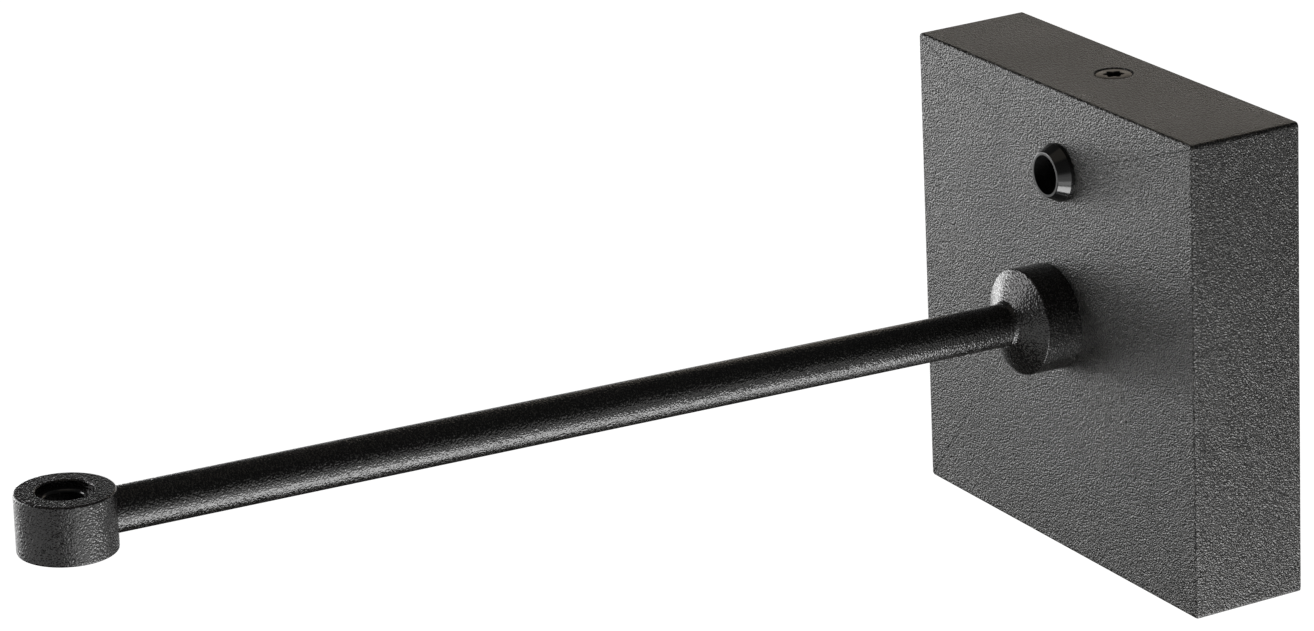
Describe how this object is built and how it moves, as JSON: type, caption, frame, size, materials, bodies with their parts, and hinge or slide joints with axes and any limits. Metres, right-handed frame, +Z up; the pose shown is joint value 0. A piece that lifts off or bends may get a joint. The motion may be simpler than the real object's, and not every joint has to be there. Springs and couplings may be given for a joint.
{
  "type": "lamp wall bracket",
  "caption": "Square steel wall canopy with a straight round arm that ends in an upright ring with a cord bushing, and a cable sleeve above the arm.",
  "frame": {"origin": "middle of the canopy's back, on the wall plane", "axes": "+Z up, +X to the right as one faces the wall, +Y into the wall, so that the arm points to -Y"},
  "size_m": [0.09, 0.2295, 0.09],
  "materials": {
    "black_powder_coat": "fine-textured black powder coat",
    "black_turned_coat": "fine-textured black powder coat on turned steel",
    "black_gloss_plastic": "glossy moulded black",
    "black_nylon": "moulded, semi-matt",
    "white_nylon": "moulded, semi-matt",
    "dark_screw": "blackened nickel",
    "zinc_sheet": "zinc-plated sheet",
    "zinc_fittings": "bright zinc plate",
    "clamp_brass": "turned brass"
  },
  "bodies": {
    "root": {"canopy": "black_powder_coat", "wall_plate": "zinc_sheet", "top_press_nut": "zinc_fittings", "bottom_press_nut": "zinc_fittings", "top_cover_screw": "dark_screw", "bottom_cover_screw": "dark_screw", "arm_collar": "black_turned_coat", "arm_rod": "black_turned_coat", "end_ring": "black_turned_coat", "ring_bushing": "black_gloss_plastic", "cable_sleeve": "black_gloss_plastic", "sleeve_washer": "zinc_fittings", "sleeve_nut": "black_nylon", "arm_backing_plate": "zinc_sheet", "left_arm_washer": "zinc_fittings", "right_arm_washer": "zinc_fittings", "left_arm_screw": "zinc_fittings", "right_arm_screw": "zinc_fittings", "terminal_housing": "white_nylon", "left_terminal_clamp": "clamp_brass", "middle_terminal_clamp": "clamp_brass", "right_terminal_clamp": "clamp_brass", "terminal_screws": "zinc_fittings", "terminal_fixing_screws": "zinc_fittings", "earth_stud": "zinc_fittings", "earth_washer": "zinc_fittings", "earth_nut": "clamp_brass", "cord_clamp": "white_nylon", "cord_clamp_screws": "zinc_fittings"}
  },
  "joints": []
}
